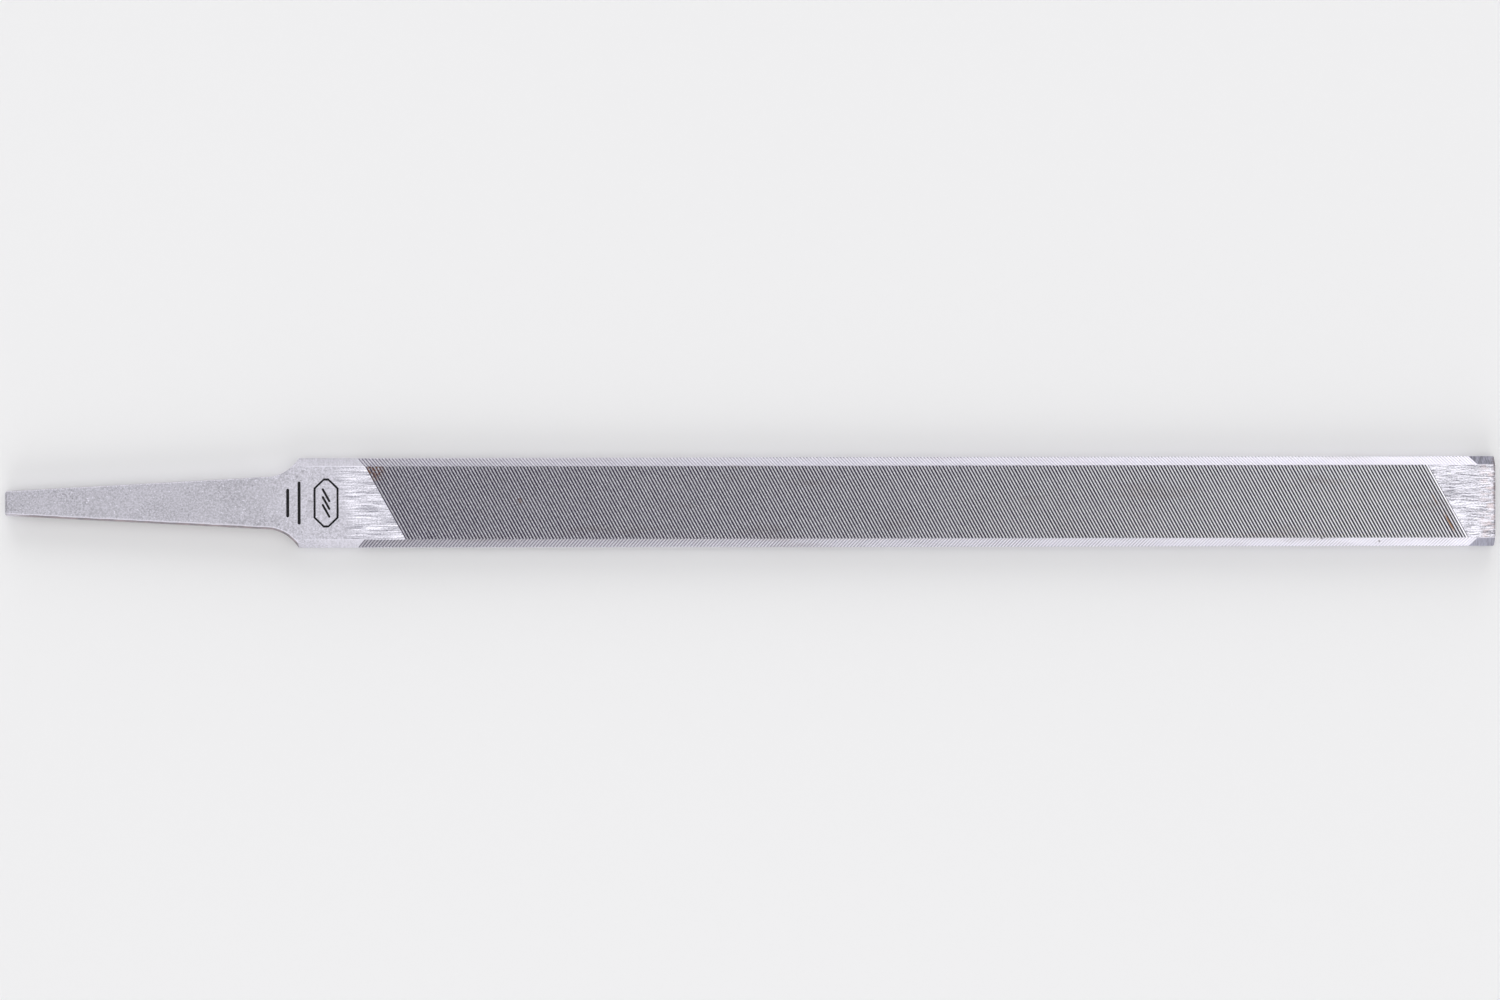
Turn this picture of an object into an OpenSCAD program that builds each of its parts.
// Flat file with bevelled edges, for a handle to be driven onto its tang.
// The real file is one bar of hardened steel. Each node is one zone of that bar, and the zones meet face to face.
// +X runs from the tang to the point, Y runs across the blade and +Z is up.
// The origin is under the middle of the file, on the surface that its lower teeth rest on.

/* [Blade] */
// Length of the blade from the shoulder to the point
blade_len = 200; // [120:5:250]
// Width of the blade from edge to edge
blade_w = 15; // [13:0.5:18]
// Thickness of the blade between its ground faces
blade_t = 4; // [3.5:0.1:4.5]
// Width of each bevel, seen from above
bevel_w = 1.4; // [1.2:0.1:1.8]
// Height of the narrow land along each edge, between the two bevels
edge_land = 0.2; // [0.1:0.05:0.4]

/* [Tang] */
// Length of the tang from its blunt end to the shoulder
tang_len = 49; // [40:1:60]
// Width of the tang at its blunt end
tang_end_w = 4.1; // [3:0.1:6]
// Width that the tang's taper would reach at the shoulder
tang_root_w = 9.3; // [8:0.1:10]
// Thickness of the tang at its blunt end
tang_end_t = 3; // [2:0.1:3.5]
// Radius of the hollow curve that runs from the tang out to the shoulder
shoulder_r = 6; // [5:0.5:8]

/* [Cut] */
// Distance from one tooth to the next, along the blade
tooth_pitch = 0.56; // [0.5:0.02:1.2]
// Angle between the tooth lines and the length of the blade
cut_angle = 61; // [54:1:75]
// Height of the tooth crests above the ground surface
tooth_rise = 0.07; // [0.03:0.01:0.12]
// Depth of the gullets below the ground surface
gullet_depth = 0.15; // [0.08:0.01:0.3]
// Share of each tooth that its long back slope takes up
back_share = 0.85; // [0.7:0.01:0.9]
// Uncut length of each face at the heel, on the middle line of the face
face_heel = 14.6; // [13:0.1:25]
// Uncut length of each face at the point, on the middle line of the face
face_point = 7.7; // [6.5:0.1:15]
// Uncut length of each bevel at the heel, on the middle line of the bevel
bevel_heel = 10.5; // [10.5:0.1:20]
// Uncut length of each bevel at the point, on the middle line of the bevel
bevel_point = 3.5; // [3.5:0.1:10]

/* [Hidden] */
$fn = 96;

// Steel left between a gullet and the floor of its strip of teeth
web = 0.1;
// How far a cutting shape reaches past what it cuts
past = 1;
// Plain length left on the body beyond the first and the last tooth
body_margin = 0.35;

shoulder_x = (tang_len - blade_len) / 2;
mid_z = tooth_rise + blade_t / 2;
half_w = blade_w / 2;
half_t = blade_t / 2;
face_half_w = half_w - bevel_w;

// The bevel's fall, its slope down from the face and its width along that slope
bevel_fall = half_t - edge_land / 2;
bevel_slope = atan(bevel_fall / bevel_w);
bevel_run = bevel_w / cos(bevel_slope);

// The taper of the tang in plan, and the centre of the shoulder curve:
// a circle that touches the taper line and passes through the corner of the blade
taper = atan((tang_root_w - tang_end_w) / 2 / tang_len);
lift = tang_root_w / 2 + shoulder_r / cos(taper) - half_w;
curve_x = -sin(taper) * cos(taper) * lift - cos(taper) * sqrt(shoulder_r ^ 2 - (cos(taper) * lift) ^ 2);
curve_y = half_w + lift + curve_x * tan(taper);
root_x = curve_x + shoulder_r * sin(taper);
root_half_w = curve_y - shoulder_r * cos(taper);

// A strip of teeth lies in a pocket, and its sides are mitred against the strip beside it.
// The mitre line runs from the floor of the pocket to a height above the teeth.
strip_floor = gullet_depth + web;
strip_top = tooth_rise + past;
mitre = tan(bevel_slope / 2);
mitre_foot = [face_half_w - strip_floor * mitre, half_t - strip_floor];
mitre_head = [face_half_w + strip_top * mitre, half_t + strip_top];
tooth_step = tooth_pitch * sin(cut_angle);
face_teeth = floor((blade_len - face_heel - face_point) / tooth_pitch);
bevel_teeth = floor((blade_len - bevel_heel - bevel_point) / tooth_pitch);

// A tooth line reaches this far along the blade, to each side of the middle line of its strip
face_lean = face_half_w / tan(cut_angle);
bevel_lean = bevel_run / 2 / tan(cut_angle);

// The heel and the point are the plain ends of the blade, and end just short of the teeth
heel_len = min(face_heel - face_lean, bevel_heel - bevel_lean) - body_margin;
point_len = min(face_point - face_lean, bevel_point - bevel_lean) - body_margin;

// Puts shapes drawn about the shoulder and the blade's middle plane in their place
module placed() {
    translate([shoulder_x, 0, mid_z])
        children();
}

// Stretches a section drawn across the blade along it, from one distance past the shoulder to another
module along_blade(from, to) {
    translate([from, 0, 0])
        rotate([90, 0, 90])
            linear_extrude(height = to - from)
                children();
}

module blade_section() {
    land = edge_land / 2;
    polygon([
        [half_w, -land], [half_w, land], [face_half_w, half_t], [-face_half_w, half_t],
        [-half_w, land], [-half_w, -land], [-face_half_w, -half_t], [face_half_w, -half_t]
    ]);
}

// The section of the upper face's strip. It shares the mitre line with the strip on the bevel,
// so that their two pockets run into each other.
module face_strip_section() {
    polygon([
        mitre_foot, mitre_head,
        [-mitre_head[0], mitre_head[1]], [-mitre_foot[0], mitre_foot[1]]
    ]);
}

// The section of the upper left bevel's strip. Its outer side stays inside the blade's width,
// and its lower side stays level with the edge land.
module bevel_strip_section() {
    land = edge_land / 2;
    polygon([
        mitre_foot, mitre_head, [half_w, mitre_head[1]],
        [half_w, land], [half_w - strip_floor / sin(bevel_slope), land]
    ]);
}

// The outline of a row of teeth: long back slopes that rise towards the point, and steep cutting faces
module saw_outline(count) {
    teeth = [
        for (i = [0 : count - 1])
            each [[i * tooth_step, -gullet_depth], [(i + back_share) * tooth_step, tooth_rise]]
    ];
    end_x = count * tooth_step;
    foot = -strip_floor - past;
    polygon(concat(teeth, [[end_x, -gullet_depth], [end_x, foot], [0, foot]]));
}

// The outline of the slab that a row of teeth is cut in
module slab_outline(count) {
    translate([0, -strip_floor - past])
        square([count * tooth_step, strip_floor + strip_top + past]);
}

// Stretches an outline along the tooth lines, which cross the whole strip however far along the blade they are
module along_teeth(start, middle) {
    translate([start, middle, 0])
        rotate([0, 0, 90 - cut_angle])
            rotate([90, 0, 0])
                linear_extrude(height = 2 * blade_len, center = true)
                    children();
}

// Moves a shape drawn at height 0 onto the upper face, or onto the left bevel beside it
module on_face() {
    translate([0, 0, half_t])
        children();
}

module on_bevel() {
    translate([0, face_half_w, half_t])
        rotate([-bevel_slope, 0, 0])
            children();
}

module face_teeth_strip() {
    intersection() {
        on_face()
            along_teeth(face_heel, 0)
                saw_outline(face_teeth);
        along_blade(0, blade_len)
            face_strip_section();
    }
}

module bevel_teeth_strip() {
    intersection() {
        on_bevel()
            along_teeth(bevel_heel, bevel_run / 2)
                saw_outline(bevel_teeth);
        along_blade(0, blade_len)
            bevel_strip_section();
    }
}

module face_pocket() {
    intersection() {
        on_face()
            along_teeth(face_heel, 0)
                slab_outline(face_teeth);
        along_blade(0, blade_len)
            face_strip_section();
    }
}

module bevel_pocket() {
    intersection() {
        on_bevel()
            along_teeth(bevel_heel, bevel_run / 2)
                slab_outline(bevel_teeth);
        along_blade(0, blade_len)
            bevel_strip_section();
    }
}

// Half a turn about the length of the blade brings an upper strip to the other side
module turned_over() {
    rotate([180, 0, 0])
        children();
}

module other_side() {
    mirror([0, 1, 0])
        children();
}

module tang_outline() {
    end_half_w = tang_end_w / 2;
    polygon([
        [-tang_len, -end_half_w], [root_x, -root_half_w], [root_x, root_half_w], [-tang_len, end_half_w]
    ]);
}

module tang_side_outline() {
    end_half_t = tang_end_t / 2;
    polygon([[-tang_len, -end_half_t], [root_x, -half_t], [root_x, half_t], [-tang_len, end_half_t]]);
}

module heel_outline() {
    difference() {
        translate([root_x, -half_w])
            square([heel_len - root_x, blade_w]);
        for (side = [-1, 1])
            translate([curve_x, side * curve_y])
                circle(r = shoulder_r);
    }
}

// Spike that a handle is driven onto
module tang() {
    color([0.75, 0.74, 0.78])
        placed()
            intersection() {
                linear_extrude(height = blade_t, center = true)
                    tang_outline();
                rotate([90, 0, 0])
                    linear_extrude(height = blade_w, center = true)
                        tang_side_outline();
            }
}

// Shoulders and plain start of the blade
module heel() {
    color([0.8, 0.8, 0.83])
        placed()
            intersection() {
                linear_extrude(height = blade_t + past, center = true)
                    heel_outline();
                along_blade(root_x, heel_len)
                    blade_section();
            }
}

// Bar under the teeth, with a shallow pocket for each strip
module body() {
    color([0.83, 0.83, 0.86])
        placed()
            difference() {
                along_blade(heel_len, blade_len - point_len)
                    blade_section();
                for (half_turn = [0, 180])
                    rotate([half_turn, 0, 0]) {
                        face_pocket();
                        bevel_pocket();
                        other_side()
                            bevel_pocket();
                    }
            }
}

// Plain end of the blade
module point() {
    color([0.87, 0.87, 0.9])
        placed()
            along_blade(blade_len - point_len, blade_len)
                blade_section();
}

module upper_face_teeth() {
    color([0.56, 0.55, 0.58])
        placed()
            face_teeth_strip();
}

module lower_face_teeth() {
    color([0.56, 0.55, 0.58])
        placed()
            turned_over()
                face_teeth_strip();
}

module upper_left_bevel_teeth() {
    color([0.8, 0.8, 0.83])
        placed()
            bevel_teeth_strip();
}

module upper_right_bevel_teeth() {
    color([0.8, 0.8, 0.83])
        placed()
            other_side()
                bevel_teeth_strip();
}

module lower_left_bevel_teeth() {
    color([0.8, 0.8, 0.83])
        placed()
            turned_over()
                other_side()
                    bevel_teeth_strip();
}

module lower_right_bevel_teeth() {
    color([0.8, 0.8, 0.83])
        placed()
            turned_over()
                bevel_teeth_strip();
}

tang();
heel();
body();
point();
upper_face_teeth();
lower_face_teeth();
upper_left_bevel_teeth();
upper_right_bevel_teeth();
lower_left_bevel_teeth();
lower_right_bevel_teeth();
